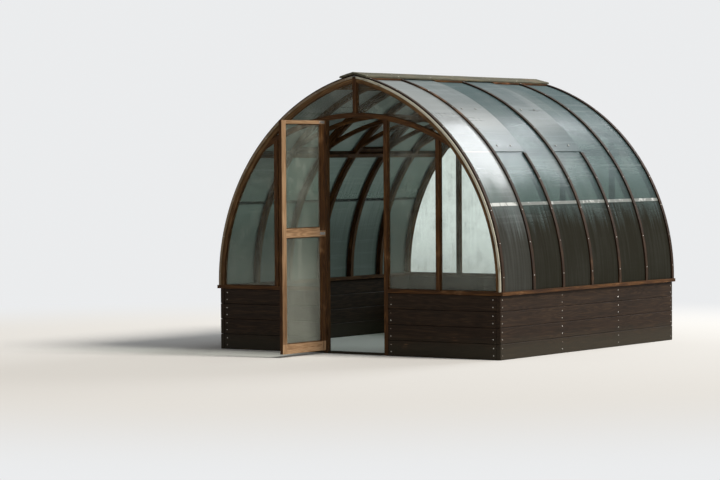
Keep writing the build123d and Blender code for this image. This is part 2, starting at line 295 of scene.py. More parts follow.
def timber(name, way, tones, wear=0.3, fade=(0.30, 0.165, 0.085), laths=False, damp=False, doorSun=False):
    paint = Paint(name)
    axes = grainOf(paint, way)
    fibre = paint.noise(paint.drawnOut(axes, *wood["fibre"]), 4.0, 0.62)
    figure = paint.noise(paint.drawnOut(axes, *wood["figure"]), 3.0, 0.55)
    growth = paint.noise(paint.drawnOut(axes, *wood["growth"]), 2.0, 0.5)
    lines = paint.math("SINE", growth * 90.0 + figure * 6.0)
    stain = paint.noise(paint.place, 3.0, 0.6, wood["stain"])
    grain = fibre * 0.45 + figure * 0.35 + lines * 0.06 + stain * 0.2
    worn = paint.step(stain + fibre * 0.35, 0.95 - wear * 0.45, 1.10 - wear * 0.40)
    knot = 1.0 - paint.step(paint.spots(paint.drawnOut(axes, *wood["knots"])), 0.05, 0.16)
    colour = paint.ramp(grain, wood["stops"], tones)
    colour = paint.blend(worn * 0.75, colour, fade)
    colour = paint.blend(knot * 0.6, colour, tones[0])
    height = fibre * 0.6 + figure * 0.4 - knot * 0.3
    if laths:
        glue = glueLines(paint, axes[1])
        colour = paint.blend(glue * 0.6, colour, wood["glue"])
        height = height - glue * 0.6
    if damp:
        wet = 1.0 - paint.step(paint.z + stain * 0.10, *wood["wetTop"])
        colour = paint.blend(wet * 0.65, colour, wood["wet"])
    if doorSun:
        # the door's sunlit face is painted tan
        paintedSun = paint.ramp(grain, wood["stops"], doorSunlitTan)
        colour = paint.blend(paintedDoorSun(paint, stain), colour, paintedSun)
    rough = fibre * 0.22 + worn * 0.10 + 0.52
    normal = paint.bump(height, 0.0016, 0.5)
    face = paint.surface(Base_Color=colour, Roughness=rough, Specular_IOR_Level=0.12, Normal=normal)
    return paint.finish(face)


# Dark, middle and light tone of each timber
redBrown = [(0.020, 0.008, 0.003), (0.058, 0.024, 0.007), (0.150, 0.070, 0.022)]
battenBrown = [(0.010, 0.006, 0.004), (0.028, 0.015, 0.008), (0.070, 0.037, 0.018)]
boardBrown = [(0.009, 0.005, 0.002), (0.020, 0.011, 0.006), (0.046, 0.027, 0.014)]
# the gable ribs: lighter and more orange than the others, as painted sunlight
endSunlitBrown = [(0.040, 0.018, 0.007), (0.115, 0.060, 0.023), (0.240, 0.145, 0.066)]
# the door's tan is its sunlit colour, painted; the rails carry it all over
doorSunlitTan = [(0.130, 0.072, 0.036), (0.300, 0.182, 0.098), (0.470, 0.320, 0.195)]

timbers = {
    "ribTimber": dict(way="arc", tones=redBrown, wear=0.25, laths=True),
    "endRibTimber": dict(way="arc", tones=endSunlitBrown, wear=0.45, laths=True),
    "tieTimber": dict(way="tie", tones=redBrown, wear=0.30),
    "postTimber": dict(way="z", tones=redBrown, wear=0.35),
    "railTimber": dict(way="y", tones=redBrown, wear=0.30),
    "crossTimber": dict(way="x", tones=redBrown, wear=0.40),
    "battenTimber": dict(way="arc", tones=battenBrown, wear=0.34, fade=(0.30, 0.150, 0.075)),
    "topBattenTimber": dict(way="y", tones=redBrown, wear=0.45, fade=(0.38, 0.16, 0.075)),
    "stileTimber": dict(way="z", tones=redBrown, wear=0.35, doorSun=True),
    "doorRailTimber": dict(way="y", tones=doorSunlitTan, wear=0.40, fade=(0.42, 0.31, 0.22)),
    "sideBoardTimber": dict(way="y", tones=boardBrown, wear=0.12, damp=True),
    "endBoardTimber": dict(way="x", tones=boardBrown, wear=0.12, damp=True),
}
finish = {name: timber(name, **values) for name, values in timbers.items()}


# Weathered planks: silvered, cracked along the grain, with a little lichen

planks = {
    "tones": [(0.028, 0.024, 0.013), (0.080, 0.074, 0.042), (0.190, 0.180, 0.115)],
    "stops": (0.36, 0.53, 0.70),
    "rust": (0.150, 0.075, 0.034),
    "lichen": (0.105, 0.120, 0.045),
    "crack": (0.018, 0.014, 0.010),
    # marks in a metre, as for the timber
    "fibre": (7.0, 210.0),
    "figure": (1.3, 30.0),
    "cracks": (2.2, 75.0),
    "patches": 4.3,
    "spots": 38.0,
}


def weathered(name):
    paint = Paint(name)
    axes = grainOf(paint, "y")
    fibre = paint.noise(paint.drawnOut(axes, *planks["fibre"]), 5.0, 0.65)
    figure = paint.noise(paint.drawnOut(axes, *planks["figure"]), 3.0, 0.6)
    patch = paint.noise(paint.place, 4.0, 0.62, planks["patches"])
    cracks = paint.noise(paint.drawnOut(axes, *planks["cracks"]), 2.0, 0.4)
    crack = 1.0 - paint.step(abs(cracks - 0.5), 0.004, 0.018)
    colour = paint.ramp(fibre * 0.5 + figure * 0.3 + patch * 0.25, planks["stops"], planks["tones"])
    colour = paint.blend(paint.step(patch, 0.56, 0.70) * 0.55, colour, planks["rust"])
    lichen = paint.step(paint.noise(paint.place, 2.0, 0.6, planks["spots"]), 0.60, 0.66)
    colour = paint.blend(lichen * 0.45, colour, planks["lichen"])
    colour = paint.blend(crack * 0.8, colour, planks["crack"])
    normal = paint.bump(fibre * 0.6 + figure * 0.4 - crack * 0.9, 0.0025, 0.8)
    return paint.finish(paint.surface(Base_Color=colour, Roughness=0.86, Normal=normal))


# Trim: cream on the right half and tan on the left, with worn, dirty patches over both

trimPaint = {
    "cream": (0.60, 0.585, 0.470),
    "tan": (0.185, 0.125, 0.065),
    "dirt": (0.120, 0.095, 0.060),
    "fibre": (7.0, 190.0),
    "patches": (5.0, 16.0),
}


def painted(name):
    paint = Paint(name)
    along, radius = paint.slope()
    axes = along + paint.side(5.0), radius, paint.y
    fibre = paint.noise(paint.drawnOut(axes, *trimPaint["fibre"]), 3.0, 0.6)
    patch = paint.noise(paint.drawnOut(axes, *trimPaint["patches"]), 4.0, 0.6)
    sunny = paint.step(paint.x, -0.10, 0.02)
    colour = paint.blend(sunny, trimPaint["tan"], trimPaint["cream"])
    worn = paint.step(patch + fibre * 0.25, 0.66, 0.80)
    colour = paint.blend(worn * 0.7, colour, trimPaint["dirt"])
    colour = paint.blend((1.0 - fibre) * 0.22, colour, trimPaint["dirt"])
    normal = paint.bump(fibre * 0.5 - worn * 0.8, 0.001, 0.5)
    return paint.finish(paint.surface(Base_Color=colour, Roughness=0.5 + worn * 0.3, Normal=normal))


# Hollow plastic roof sheets: two thin skins with webs between them, running up the slope

roofSheet = {
    "clean": (0.165, 0.188, 0.190),
    "tint": (0.020, 0.050, 0.052),
    # pale painted sheen: it stands for the sky's reflection on the first bay and on the vents
    "paintedSheen": (0.380, 0.390, 0.385),
    "band": (0.40, 0.44, 0.46),
    "web": (0.50, 0.54, 0.54),
    # a bright painted line where the sunlit purlin shows through the first sheet
    "litPurlinLine": (0.50, 0.41, 0.36),
    "gathered": (0.016, 0.028, 0.026),
    # dark film: dirt, and painted shade standing for the dark reflection on the lower sheets
    "filmAndPaintedShade": (0.017, 0.016, 0.011),
    "dust": (0.034, 0.034, 0.028),
    "through": (0.72, 0.86, 0.79),  # colour of the light that passes
    "opacity": 0.60,  # of each face, so that a sheet hides most of what is behind it
    "ventOpacity": 0.70,
    "ventGreen": 0.45,  # share of the tint on the front vents; those behind have more
    "flute": 0.0065,
    # marks in a metre up the slope and along the house
    "streaks": (1.7, 34.0),
    "clouds": (1.4, 1.6),
    "ripples": (9.0, 1.3),
    "bands": (24.0, 0.9),
    # distances up the slope, of the seam and of the purlin under the first sheet
    "seam": 0.7255,
    "purlin": 1.248,
    # distances up the slope between which a zone begins or ends
    "filmAndShadeEnds": (0.26, 0.96),
    "gatheredEnds": (0.74, 1.04),
    "sheenBegins": (0.55, 1.25),
    "sheenFades": (1.2, 2.3),
    # the vents' pale zone is a painted highlight
    "ventSheenBegins": (1.38, 1.62),
    "ventSheenEnds": (1.62, 1.96),
    "washedBegins": (0.70, 1.10),
    "rearWashedBegins": (1.20, 1.62),
    "washedEnds": (1.58, 2.15),
    # distances back from the front gable
    "rear": (0.3, 2.6),
    "last": (1.9, 2.8),
}


class SheetPaint(Paint):
    # the first bay has a pale painted sheen that stands for the sky's reflection, those behind it are
    # greener, and the lower sheets are dirty and darkened by painted shade

    def __init__(self, name, greenness):
        super().__init__(name)
        self.greenness = greenness
        self.lift = 1.0 - greenness
        self.along = self.slope()[0]
        self.addPatterns()
        self.addZones()
        self.addDirt()

    def addPatterns(self):
        # webs inside the sheet, streaks down the slope, bands across it, soft clouds and ripples
        half = roofSheet["flute"] / 2
        self.web = self.step(self.math("PINGPONG", self.y, half) / half, 0.82, 1.0)
        shifted = self.along + self.side(4.0)

        def pattern(name, detail, rough, layer=0.0):
            up, across = roofSheet[name]
            return self.noise(self.vector(shifted * up, self.y * across, layer), detail, rough)

        self.streak = pattern("streaks", 3.0, 0.6)
        self.cloud = pattern("clouds", 3.0, 0.55)
        self.ripple = pattern("ripples", 2.0, 0.5)
        self.band = pattern("bands", 4.0, 0.62, 3.0)

    def swayed(self, streaks, clouds):
        # the distance up the slope, pushed to and fro so that a zone's edge runs unevenly
        return self.along + (self.streak - 0.5) * streaks + (self.cloud - 0.5) * clouds

    def zone(self, name, place):
        return self.step(place, *roofSheet[name])

    def addZones(self):
        seam, bay = roofSheet["seam"], house["bay"]
        self.below = 1.0 - self.step(self.along, seam - 0.004, seam + 0.004)
        self.sunny = self.step(self.x, -0.05, 0.05)
        self.firstBay = 1.0 - self.step(self.y, bay - 0.03, bay + 0.03)
        self.rear = self.zone("rear", self.y)
        # the first bay's pale sheen above the seam: painted reflection of the sky
        self.paintedSheen = self.firstBay * (1.0 - self.below)
        self.paintedSheen = self.paintedSheen * self.zone("sheenBegins", self.along + (self.cloud - 0.5) * 0.9)

    def addDirt(self):
        # a dark film on the lower sheets with dust and a matt crust: partly dirt, partly painted shade
        # standing for the dark reflection there; and what gathers above the seam
        dirty = 1.0 - self.zone("filmAndShadeEnds", self.swayed(0.55, 0.35))
        filmAndPaintedShade = self.below * dirty * (self.sunny * 0.7 + 0.3) * (1.40 - self.firstBay * 0.20)
        self.filmAndPaintedShade = self.math("MINIMUM", filmAndPaintedShade, 1.05)
        self.dusty = self.step(self.streak * 0.6 + self.cloud * 0.4, 0.38, 0.66)
        self.crustAndShade = self.filmAndPaintedShade * (1.0 - self.firstBay * 0.80) * (1.0 - self.dusty * 0.2) * 0.80
        gathered = 1.0 - self.zone("gatheredEnds", self.swayed(0.25, 0.3))
        self.gathered = (1.0 - self.below) * gathered * (1.0 - self.firstBay * 0.45)

    def layers(self):
        # how much of each tone lies over the one before it; the pale zone, a painted highlight, is on the
        # vents only
        green = self.sunny * (1.0 - self.firstBay * 0.7) * (1.0 - self.step(self.cloud, 0.52, 0.80) * 0.5)
        fading = 1.0 - self.zone("sheenFades", self.along) * 0.6
        pale = self.zone("ventSheenBegins", self.along) * (1.0 - self.zone("ventSheenEnds", self.along)) * self.lift
        # painted highlight: the sunlit purlin under the first sheet
        litPurlinLine = 1.0 - self.step(abs(self.along - roofSheet["purlin"]), 0.003, 0.009)
        return [
            (green * (self.rear * self.lift + self.greenness), roofSheet["tint"]),
            # the next three tones are painted light: the first bay's pale sheen, the vents' pale zone and the
            # bright line of the sunlit purlin
            (self.paintedSheen * 0.46 * fading, roofSheet["paintedSheen"]),
            (pale * self.sunny * (1.0 - self.rear * 0.7), roofSheet["paintedSheen"]),
            (litPurlinLine * self.firstBay * self.sunny * 0.6, roofSheet["litPurlinLine"]),
            (self.step(self.band, 0.48, 0.72) * 0.22, roofSheet["band"]),
            (self.gathered * 0.6, roofSheet["gathered"]),
            (self.web * 0.15, roofSheet["web"]),
            # the dark film: dirt, and painted shade on the lower sheets
            (self.filmAndPaintedShade * 0.9, self.blend(self.dusty, roofSheet["filmAndPaintedShade"], roofSheet["dust"])),
        ]

    def roughness(self):
        # rain has washed a zone smooth; it lies higher further back, and higher on the vents
        place = self.swayed(0.30, 0.25) - self.lift * 0.45
        washed = self.zone("washedBegins", place) * (1.0 - self.rear)
        washed = washed + self.zone("rearWashedBegins", place) * self.rear
        washed = washed * (1.0 - self.zone("washedEnds", place))
        smooth = washed * (0.34 - self.zone("last", self.y) * 0.20) + self.paintedSheen * 0.08
        dirt = self.streak * 0.08 + self.filmAndPaintedShade * 0.34 + self.gathered * 0.16
        return 0.60 - smooth + dirt + (self.band - 0.5) * 0.30


def hollowSheet(name, opacity, greenness):
    paint = SheetPaint(name, greenness)
    colour = roofSheet["clean"]
    for amount, tone in paint.layers():
        colour = paint.blend(amount, colour, tone)
    rough = paint.roughness()
    normal = paint.bump(paint.ripple + paint.streak * 0.15 + paint.band * 0.25, 0.004, 0.14)
    face = paint.surface(Base_Color=colour, Roughness=rough, IOR=1.58, Specular_IOR_Level=0.26, Normal=normal)
    # a matt dark crust: dirt, and painted shade on the lower sheets
    face = paint.mixed(paint.crustAndShade, face, paint.matt(roofSheet["filmAndPaintedShade"]))
    cover = paint.gloss() * 0.9 + opacity + paint.web * 0.05 + paint.filmAndPaintedShade * 0.30 + paint.paintedSheen * 0.14
    cover = paint.math("MINIMUM", cover, 1.0)
    return paint.finish(paint.mixed(cover, paint.clear(roofSheet["through"]), face))


finish["hollowSheet"] = hollowSheet("hollowSheet", roofSheet["opacity"], 1.0)
finish["ventSheet"] = hollowSheet("ventSheet", roofSheet["ventOpacity"], roofSheet["ventGreen"])


# Clear panes with dust in the corners and run marks

paneLook = {
    "dirt": (0.46, 0.48, 0.42),
    "through": (0.95, 0.98, 0.96),
    "dust": 5.0,
    "marks": (26.0, 26.0, 1.8),  # in a metre of x, y and z
    "splashed": (0.75, 1.35),  # heights between which the dirt from below ends
}


def clearPane(name):
    paint = Paint(name)
    dust = paint.noise(paint.place, 4.0, 0.65, paneLook["dust"])
    marks = paint.noise(paint.scaled(paneLook["marks"]), 3.0, 0.6)
    splashed = 1.0 - paint.step(paint.z + dust * 0.5, *paneLook["splashed"])
    dirt = paint.step(dust + marks * 0.4, 0.62, 0.95) * 0.10 + splashed * 0.12
    face = paint.surface(Base_Color=paneLook["dirt"], Roughness=0.06 + dirt * 0.8, IOR=1.5)
    return paint.finish(paint.mixed(paint.gloss() + dirt, paint.clear(paneLook["through"]), face))


# Metals, tape and rubber

metals = {
    "zincSteel": dict(tint=(0.56, 0.57, 0.57), rough=0.36, stain=(0.16, 0.075, 0.035), stained=0.36),
    "brightScrew": dict(tint=(0.62, 0.60, 0.55), rough=0.30, stain=(0.12, 0.06, 0.03), stained=0.40),
}
scratches = (40.0, 600.0)  # in a metre along x, and across it


def metal(name, tint, rough, stain, stained):
    # the higher stained is, the more of the face the stain covers
    paint = Paint(name)
    scratch = paint.noise(paint.drawnOut((paint.x, paint.y, paint.z), *scratches), 3.0, 0.6)
    patch = paint.noise(paint.place, 4.0, 0.65, 16.0)
    dull = paint.step(patch, 0.88 - stained, 1.05 - stained)
    colour = paint.blend(dull, tint, stain)
    colour = paint.blend(scratch * 0.25, colour, tuple(value * 0.6 for value in tint))
    rough = rough + scratch * 0.15 + dull * 0.35
    normal = paint.bump(scratch * 0.4 + patch * 0.6, 0.0006, 0.4)
    metallic = 1.0 - dull * 0.85
    return paint.finish(paint.surface(Base_Color=colour, Metallic=metallic, Roughness=rough, Normal=normal))


tape = {
    "bright": (0.46, 0.47, 0.45),
    # grime, and painted shade behind the first bay
    "grimyAndShaded": (0.080, 0.092, 0.082),
    "patches": (12.0, 14.0, 12.0),  # in a metre of x, y and z
    "creases": (60.0, 95.0, 60.0),
}


def seamTape(name):
    # scuffed in patches, and darker behind the first bay: painted shade, so that only the first bay's tape
    # shines as if in the sun
    paint = Paint(name)
    patch = paint.noise(paint.scaled(tape["patches"]), 4.0, 0.7)
    # darker behind the first bay: painted shade
    back = paint.step(paint.y, 0.46, 0.60)
    grimeAndShade = paint.step(patch + back * 0.16, 0.50, 0.62)
    crease = paint.noise(paint.scaled(tape["creases"]), 3.0, 0.6)
    colour = paint.blend(grimeAndShade * 0.85, tape["bright"], tape["grimyAndShaded"])
    normal = paint.bump(crease, 0.0012, 0.6)
    metallic, rough = 0.20 - grimeAndShade * 0.15, 0.62 + grimeAndShade * 0.1
    return paint.finish(paint.surface(Base_Color=colour, Metallic=metallic, Roughness=rough, Normal=normal))


rubberTones = {"dark": (0.012, 0.012, 0.012), "light": (0.035, 0.034, 0.032)}


def rubber(name):
    paint = Paint(name)
    speck = paint.noise(paint.place, 2.0, 0.6, 420.0)
    colour = paint.blend(speck, rubberTones["dark"], rubberTones["light"])
    normal = paint.bump(speck, 0.0003, 0.5)
    return paint.finish(paint.surface(Base_Color=colour, Roughness=0.65 + speck * 0.2, Normal=normal))


makers = {
    "weatheredPlank": weathered,
    "trimPaint": painted,
    "clearPane": clearPane,
    "seamTape": seamTape,
    "rubberWasher": rubber,
}
for name, make in makers.items():
    finish[name] = make(name)
for name, values in metals.items():
    finish[name] = metal(name, **values)


# Which CAD nodes each finish goes on

nodesOf = {
    "tieTimber": ["collar_ties"],
    "postTimber": ["king_posts", "front_posts", "back_posts"],
    "railTimber": ["ridge_beam", "purlins", "side_plates"],
    "crossTimber": ["end_plates", "apex_boards"],
    "endBoardTimber": ["threshold", "base_front_left", "base_front_right", "base_back"],
    "sideBoardTimber": ["base_left", "base_right"],
    "topBattenTimber": ["top_battens"],
    "battenTimber": ["battens_left", "battens_right"],
    "trimPaint": ["end_trims"],
    "ribTimber": ["vent_frames_left", "vent_frames_right"],
    "endRibTimber": [],
    "hollowSheet": [
        row + side
        for row in ("end_sheets", "lower_sheets", "vented_sheets")
        for side in ("_left", "_right")
    ],
    "ventSheet": ["vent_sheets_left", "vent_sheets_right"],
    "seamTape": ["joint_strips"],
    "clearPane": ["front_panes", "back_panes", "door_panes"],
    "stileTimber": ["door_stiles"],
    "doorRailTimber": ["door_rails", "door_ledge"],
    "zincSteel": ["hinge_plates", "hinge_leaves"],
    "weatheredPlank": ["ridge_cap_left", "ridge_cap_right"],
}
for number in range(house["bays"] + 1):
    atGable = number in (0, house["bays"])
    nodesOf["endRibTimber" if atGable else "ribTimber"].append("arch_%d" % (number + 1))
for look, names in nodesOf.items():
    for name in names:
        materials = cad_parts[name].data.materials
        materials.clear()
        materials.append(finish[look])
print("finishes:", len(finish))


# Mesh tools

def skin(shape, rings, closed=False, lid=True):
    # walls between rings of points; an open stack gets a face at its start and, with a lid, at its end
    made = [[shape.verts.new(point) for point in ring] for ring in rings]
    count = len(made[0])
    pairs = list(zip(made, made[1:]))
    if closed:
        pairs.append((made[-1], made[0]))
    for low, high in pairs:
        for n in range(count):
            m = (n + 1) % count
            shape.faces.new((low[n], low[m], high[m], high[n]))
    if not closed:
        shape.faces.new(list(reversed(made[0])))
    if lid and not closed:
        shape.faces.new(made[-1])


def meshOf(name, shape, material):
    bmesh.ops.recalc_face_normals(shape, faces=shape.faces)
    mesh = bpy.data.meshes.new(name)
    shape.to_mesh(mesh)
    shape.free()
    mesh.materials.append(material)
    made = bpy.data.objects.new(name, mesh)
    scene.collection.objects.link(made)
    return made


def addPiece(name, shape, body, material, replaced=(), smooth=False):
    piece = meshOf(name, shape, finish[material])
    if smooth:
        piece.data.shade_smooth()
        piece.data.set_sharp_from_angle(angle=math.radians(35))
    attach(piece, body)
    if replaced:
        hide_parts(*replaced)


def addScrews(name, shape, body="house"):
    addPiece(name, shape, body, "brightScrew", smooth=True)


def uneven(x, y, z):
    # smooth noise, from about -1 to 1
    return noise.noise(Vector((x, y, z)))


def board(shape, low, high, way, edge, steps=1, wander=0.0, seed=0.0):
    # a plank between two corners; its edges are planed off and its faces wander inward a little
    one, two = [n for n in range(3) if n != way]

    def ring(at, shrink):
        a0, a1 = low[one] + shrink, high[one] - shrink
        b0, b1 = low[two] + shrink, high[two] - shrink
        flat = [
            (a0 + edge, b0), (a1 - edge, b0), (a1, b0 + edge), (a1, b1 - edge),
            (a1 - edge, b1), (a0 + edge, b1), (a0, b1 - edge), (a0, b0 + edge),
        ]
        points = []
        for a, b in flat:
            point = Vector((0, 0, 0))
            point[way], point[one], point[two] = at, a, b
            points.append(point)
        return points

    rings = [ring(low[way], edge)]
    for n in range(steps + 1):
        at = low[way] + edge + (high[way] - low[way] - 2 * edge) * n / steps
        rings.append(ring(at, wander * (0.5 + 0.5 * uneven(at * 2.3, seed, 1.7))))
    rings.append(ring(high[way], edge))
    skin(shape, rings)


def onCircle(place, radius, height, share):
    # a point some share of the way round a circle that lies at a height over the place
    angle = 2 * math.pi * share
    return place @ Vector((radius * math.cos(angle), radius * math.sin(angle), height))


def turned(shape, place, profile, sides):
    # a turned shape: the profile is a list of distances from the axis and heights along it
    rings = []
    for radius, height in profile:
        rings.append([onCircle(place, radius, height, n / sides) for n in range(sides)])
    skin(shape, rings)


# Shares of a screw head's radius and height
screwHead = {
    "sides": 24,
    "dome": ((1.0, -0.2), (1.0, 0.25), (0.90, 0.70), (0.72, 0.93)),
    "cross": (0.52, 0.50, 0.22, 0.17, 0.22, 0.50),  # one arm and the corner beside it, four times round
    "recess": (0.8, 0.35),  # how narrow the recess gets, and the height of its floor
}


def screw(shape, place, radius, height):
    # a domed head with a cross cut into it
    sides, cross = screwHead["sides"], screwHead["cross"]
    narrow, floor = screwHead["recess"]
    arms = [cross[n % len(cross)] for n in range(sides)]
    rings = [[(wide, tall)] * sides for wide, tall in screwHead["dome"]]
    rings.append([(wide, 1.0) for wide in arms])
    rings.append([(wide * narrow, floor) for wide in arms])
    placed = []
    for ring in rings:
        ways = enumerate(ring)
        placed.append([onCircle(place, wide * radius, tall * height, n / sides) for n, (wide, tall) in ways])
    skin(shape, placed)


def facing(origin, outward, turn=0.0):
    # a place with its z pointing out of a surface
    spin = Vector(outward).to_track_quat("Z", "Y").to_matrix().to_4x4()
    return Matrix.Translation(origin) @ spin @ Matrix.Rotation(turn, 4, "Z")


def onSlope(side, radius, angle, y):
    # a point of the slope and the way out of it
    across, up = math.cos(angle), math.sin(angle)
    x, z = radius * across - house["offset"], radius * up + house["spring"]
    return Vector((side * x, y, z)), Vector((side * across, 0, up))


def angleAt(x, radius):
    # the angle round the slope's arc at a distance from the middle
    return math.acos((x + house["offset"]) / radius)


def angleUp(z, radius):
    # and the one at a height
    return math.asin((z - house["spring"]) / radius)


# Base walls: four boards on edge, with a groove where two meet

baseBoards = {
    "rows": 4,
    "edge": 0.004,
    "wander": 0.0016,
    "steps": 14,  # over the whole length of the house
    # each wall, the way it runs and the side of it that is outside
    "walls": (
        ("base_left", 1, -1),
        ("base_right", 1, 1),
        ("base_front_left", 0, -1),
        ("base_front_right", 0, -1),
        ("base_back", 0, 1),
    ),
}


def boardWall(name, way, seed):
    low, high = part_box(name)
    shape = bmesh.new()
    tall = (high[2] - low[2]) / baseBoards["rows"]
    steps = max(2, int(baseBoards["steps"] * (high[way] - low[way]) / length))
    for row in range(baseBoards["rows"]):
        bottom, top = Vector(low), Vector(high)
        bottom[2] = low[2] + row * tall
        top[2] = bottom[2] + tall
        board(shape, bottom, top, way, baseBoards["edge"], steps, baseBoards["wander"], seed + row * 3.7)
    material = "sideBoardTimber" if way == 1 else "endBoardTimber"
    addPiece(name + "_boards", shape, "house", material, (name,))


for number, (name, way, _) in enumerate(baseBoards["walls"]):
    boardWall(name, way, number * 11.3)
print("base walls boarded")


# Ridge planks: rough-edged and silvered, two lengths a side

ridge = {
    "half": 0.075,  # half the width of a plank
    "thick": 0.0174,
    "gap": 0.002,
    "bed": 0.0003,
    "past": 0.025,  # beyond each gable
    "joint": {1: 1.62, -1: 1.31},  # where the two lengths meet, right and left
    "ragged": 0.013,
    "thin": 0.003,
    "corner": 0.003,
    "step": 0.03,
    # shares of the width and of the thickness, round the plank from its lower edge
    "section": (
        (0.0, 0.0), (0.35, 0.0), (0.75, 0.0), (1.0, 0.0), (1.0, 1.0),
        (0.8, 1.0), (0.55, 1.0), (0.3, 1.0), (0.08, 0.97), (0.0, 0.72),
    ),
}
capAngle = angleAt(ridge["half"], house["battenOut"])


def onCap(side, out, up, y):
    # a point of the ridge planks, from its distance to the arc's centre and its place up their slope
    x = out * math.cos(capAngle) - up * math.sin(capAngle) - house["offset"]
    return Vector((side * x, y, out * math.sin(capAngle) + up * math.cos(capAngle) + house["spring"]))


def plankSection(side, y, seed, atEnd):
    rough = uneven(y * 3.1, seed, 0.3) * 0.5 + uneven(y * 17.0, seed, 4.0) * 0.35
    edge = ridge["ragged"] * min(1.0, max(0.0, 0.45 + rough))
    if atEnd:
        edge += ridge["corner"]
    points = []
    for width, thickness in ridge["section"]:
        out = house["battenOut"] + ridge["bed"] + ridge["thick"] * thickness
        if thickness > 0.5:
            out -= ridge["thin"] * (0.5 + 0.5 * uneven(y * 2.7, width * 3.0 + seed, 7.0))
        bottom = edge - ridge["half"]
        top = (out * math.cos(capAngle) - house["offset"] - ridge["gap"]) / math.sin(capAngle)
        points.append(onCap(side, out, bottom + (top - bottom) * width, y))
    return points


def ridgePlanks(side, word):
    shape = bmesh.new()
    joint, gap = ridge["joint"][side], ridge["gap"]
    lengths = (front - ridge["past"], joint - gap), (joint + gap, back + ridge["past"])
    for number, (low, high) in enumerate(lengths):
        count = int((high - low) / ridge["step"])
        seed = side * 5.0 + number * 9.0
        rings = []
        for n in range(count + 1):
            rings.append(plankSection(side, low + (high - low) * n / count, seed, n in (0, count)))
        skin(shape, rings)
    name = "ridge_cap_" + word
    addPiece(name + "_planks", shape, "house", "weatheredPlank", (name,))


ridgePlanks(1, "right")
ridgePlanks(-1, "left")
print("ridge planks laid")


# Fixings: a head is its radius and its height

battenScrews = {
    "head": (0.0042, 0.0020),
    "first": 0.10,  # along the arch
    "step": 0.27,
    "top": 0.16,  # from the middle of the house
    "sway": 0.004,
    "short": (2, 4),  # arches whose battens end beside the vents, and the angle where they do
    "shortTop": 0.60,
}


def slopeScrews():
    shape = bmesh.new()
    radius, first = house["battenOut"], battenScrews["first"]
    run = angleAt(battenScrews["top"], radius) * radius - first
    spaces = int(run / battenScrews["step"])
    for side in (1, -1):
        for arch in range(house["bays"] + 1):
            for n in range(spaces + 1):
                angle = (first + n * run / spaces) / radius
                if arch in battenScrews["short"] and angle > battenScrews["shortTop"]:
                    continue
                sway = battenScrews["sway"] * math.sin(arch * 3.1 + n * 2.3)
                point, out = onSlope(side, radius, angle, arch * house["bay"] + sway)
                screw(shape, facing(point, out, n * 0.9 + arch), *battenScrews["head"])
    addScrews("batten_screws", shape)


trim = {
    "head": (0.0035, 0.0016),
    "inward": 0.011,  # from the outside of the sheets to the trim's middle
    "proud": 0.010,  # of the gable
    "first": 0.08,  # along the arch
    "last": 0.04,
    "step": 0.33,
    "top": 0.05,  # from the middle of the house
}


def trimScrews():
    shape = bmesh.new()
    radius = house["sheetOut"] - trim["inward"]
    run = angleAt(trim["top"], radius) * radius
    count = int(run / trim["step"])
    for side in (1, -1):
        for y, way in ((front - trim["proud"], -1), (back + trim["proud"], 1)):
            for n in range(count + 1):
                angle = (trim["first"] + n * (run - trim["first"] - trim["last"]) / count) / radius
                point = onSlope(side, radius, angle, y)[0]
                screw(shape, facing(point, (0, way, 0), n * 1.3), *trim["head"])
    addScrews("trim_screws", shape)


vents = {
    "head": (0.0055, 0.0030),
    "washer": ((0.0105, -0.0002), (0.0110, 0.0012), (0.0085, 0.0026), (0.0060, 0.0030)),
    "washerTop": 0.0029,
    "washerSides": 20,
    "arches": (1, 3),  # each vent lies between one of these and the next
    "play": 0.005,
    "purlin": 1.7616,  # height of the purlin that the vents start at
    "proud": 0.0063,  # of the roof sheets
    "across": (0.105, 0.330),  # from the side of the vent
    "up": (0.030, 0.29),  # angles from the purlin
}


def ventFixings():
    washers, heads = bmesh.new(), bmesh.new()
    radius = house["sheetOut"] + vents["proud"]
    low = angleUp(vents["purlin"], house["radius"])
    edge = house["battenHalf"] + vents["play"]
    places = [
        (side, low + up, arch * house["bay"] + edge + across)
        for side in (1, -1)
        for arch in vents["arches"]
        for across in vents["across"]
        for up in vents["up"]
    ]
    for side, angle, y in places:
        point, out = onSlope(side, radius, angle, y)
        turned(washers, facing(point, out), vents["washer"], vents["washerSides"])
        screw(heads, facing(point + out * vents["washerTop"], out, y * 9.0), *vents["head"])
    addPiece("vent_washers", washers, "house", "rubberWasher", smooth=True)
    addScrews("vent_screws", heads)


boardFixings = {
    "head": (0.0046, 0.0012),
    "ends": 0.030,  # from a board's end to its first screws
    "every": 1.0,
    "heights": (0.27, 0.73),  # shares of a board's height
    "sway": 0.003,
    "sunk": 0.0012,
}


def boardScrews():
    # two screws a board at either end, and about a metre apart between them
    shape = bmesh.new()
    rows = baseBoards["rows"]
    for name, way, side in baseBoards["walls"]:
        low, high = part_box(name)
        across = 1 - way
        tall = (high[2] - low[2]) / rows
        start, run = low[way] + boardFixings["ends"], high[way] - low[way] - 2 * boardFixings["ends"]
        spans = max(1, round(run / boardFixings["every"]))
        out = Vector((0, 0, 0))
        out[across] = side
        face = (high if side > 0 else low)[across] - side * boardFixings["sunk"]
        for n in range(spans + 1):
            for row in range(rows):
                for part in boardFixings["heights"]:
                    point = Vector((0, 0, low[2] + (row + part) * tall))
                    point[way] = start + run * n / spans + boardFixings["sway"] * math.sin(row * 5.1 + n)
                    point[across] = face
                    screw(shape, facing(point, out, row + n * 1.7), *boardFixings["head"])
    addScrews("board_screws", shape)


capFixings = {
    "head": (0.0048, 0.0016),
    "sunk": 0.0026,
    "places": (-0.042, 0.038),  # up the plank's slope
    "sway": 0.006,
}


